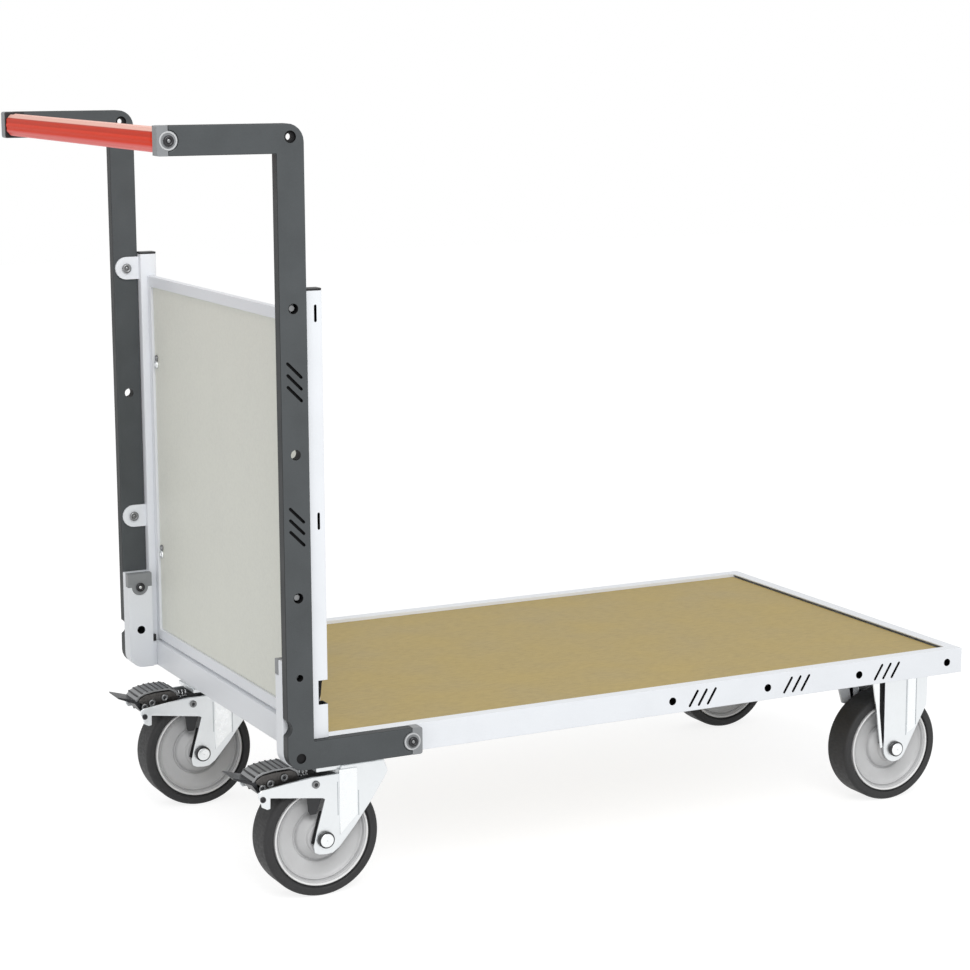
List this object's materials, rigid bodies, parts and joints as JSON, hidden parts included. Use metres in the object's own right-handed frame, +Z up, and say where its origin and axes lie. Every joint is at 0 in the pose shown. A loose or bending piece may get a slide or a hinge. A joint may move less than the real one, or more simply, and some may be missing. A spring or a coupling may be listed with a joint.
{
  "type": "folding platform cart",
  "caption": "Folding platform cart: flat deck on swivel and fixed casters, with a fold-over push bar, end panel and cranked side brackets.",
  "frame": {"origin": "on the floor under the centre of the bounding box", "axes": "+X along the platform from the handle end to the open end, +Y across it, +Z up"},
  "size_m": [1.208, 0.649, 1],
  "materials": {
    "frame_coat": "satin white powder coat",
    "bracket_coat": "satin anthracite powder coat",
    "deck": "sealed fibreboard",
    "panel": "light grey-beige faced board",
    "cap": "moulded grey plastic",
    "plug": "black plastic",
    "grip": "red ridged plastic",
    "screw": "dark steel",
    "steel": "bright steel",
    "zinc": "bright zinc plate",
    "dark_steel": "dark grey steel",
    "rim": "grey moulded plastic",
    "tyre": "dark grey rubber"
  },
  "bodies": {
    "platform": {"axle_bolt_fixed_far": "steel", "axle_bolt_fixed_near": "steel", "corner_stub_far": "frame_coat", "corner_stub_near": "frame_coat", "cross_member_handle": "frame_coat", "cross_member_open": "frame_coat", "deck_board": "deck", "end_rail_handle": "frame_coat", "end_rail_open": "frame_coat", "fixed_fork_far": "zinc", "fixed_fork_near": "zinc", "pivot_bolt_far": "screw", "pivot_bolt_near": "screw", "side_rail_far": "frame_coat", "side_rail_near": "frame_coat", "stub_cap_far": "cap", "stub_cap_near": "cap", "stub_screw_far": "screw", "stub_screw_near": "screw", "swivel_head_far": "zinc", "swivel_head_near": "zinc", "swivel_plate_far": "zinc", "swivel_plate_near": "zinc"},
    "push_bar": {"handle_cap_far": "cap", "handle_cap_near": "cap", "handle_grip": "grip", "handle_screw_far": "screw", "handle_screw_near": "screw", "handle_tube": "steel", "panel_board": "panel", "panel_frame": "frame_coat", "pivot_cap_far": "cap", "pivot_cap_near": "cap", "side_bracket_far": "bracket_coat", "side_bracket_near": "bracket_coat", "tab_screw_far_lower": "screw", "tab_screw_far_upper": "screw", "tab_screw_near_lower": "screw", "tab_screw_near_upper": "screw", "upright_far": "frame_coat", "upright_near": "frame_coat", "upright_plug_far": "plug", "upright_plug_near": "plug"},
    "swivel_near": {"axle_bolt_swivel_near": "steel", "brake_spring_near": "dark_steel", "swivel_fork_near": "zinc"},
    "swivel_far": {"axle_bolt_swivel_far": "steel", "brake_spring_far": "dark_steel", "swivel_fork_far": "zinc"},
    "swivel_wheel_near": {"rim_swivel_near": "rim", "tyre_swivel_near": "tyre"},
    "swivel_wheel_far": {"rim_swivel_far": "rim", "tyre_swivel_far": "tyre"},
    "pedal_near": {"brake_pedal_near": "dark_steel"},
    "pedal_far": {"brake_pedal_far": "dark_steel"},
    "fixed_wheel_near": {"rim_fixed_near": "rim", "tyre_fixed_near": "tyre"},
    "fixed_wheel_far": {"rim_fixed_far": "rim", "tyre_fixed_far": "tyre"}
  },
  "joints": [
    {"name": "push_bar_fold", "type": "hinge", "parent": "platform", "child": "push_bar", "pos_m": [-0.282, 0, 0.213], "axis": [0, 1, 0], "range_deg": [0, 98]},
    {"name": "swivel_turn_near", "type": "hinge", "parent": "platform", "child": "swivel_near", "pos_m": [-0.326, -0.226, 0.176], "axis": [0, 0, 1], "continuous": true},
    {"name": "swivel_wheel_spin_near", "type": "hinge", "parent": "swivel_near", "child": "swivel_wheel_near", "pos_m": [-0.38, -0.226, 0.08], "axis": [0, 1, 0], "continuous": true},
    {"name": "brake_pedal_press_near", "type": "hinge", "parent": "swivel_near", "child": "pedal_near", "pos_m": [-0.463, -0.226, 0.15], "axis": [0, -1, 0], "range_deg": [0, 10]},
    {"name": "fixed_wheel_spin_near", "type": "hinge", "parent": "platform", "child": "fixed_wheel_near", "pos_m": [0.521, -0.226, 0.08], "axis": [0, 1, 0], "continuous": true},
    {"name": "swivel_turn_far", "type": "hinge", "parent": "platform", "child": "swivel_far", "pos_m": [-0.326, 0.226, 0.176], "axis": [0, 0, 1], "continuous": true},
    {"name": "swivel_wheel_spin_far", "type": "hinge", "parent": "swivel_far", "child": "swivel_wheel_far", "pos_m": [-0.38, 0.226, 0.08], "axis": [0, 1, 0], "continuous": true},
    {"name": "brake_pedal_press_far", "type": "hinge", "parent": "swivel_far", "child": "pedal_far", "pos_m": [-0.463, 0.226, 0.15], "axis": [0, -1, 0], "range_deg": [0, 10]},
    {"name": "fixed_wheel_spin_far", "type": "hinge", "parent": "platform", "child": "fixed_wheel_far", "pos_m": [0.521, 0.226, 0.08], "axis": [0, 1, 0], "continuous": true}
  ]
}
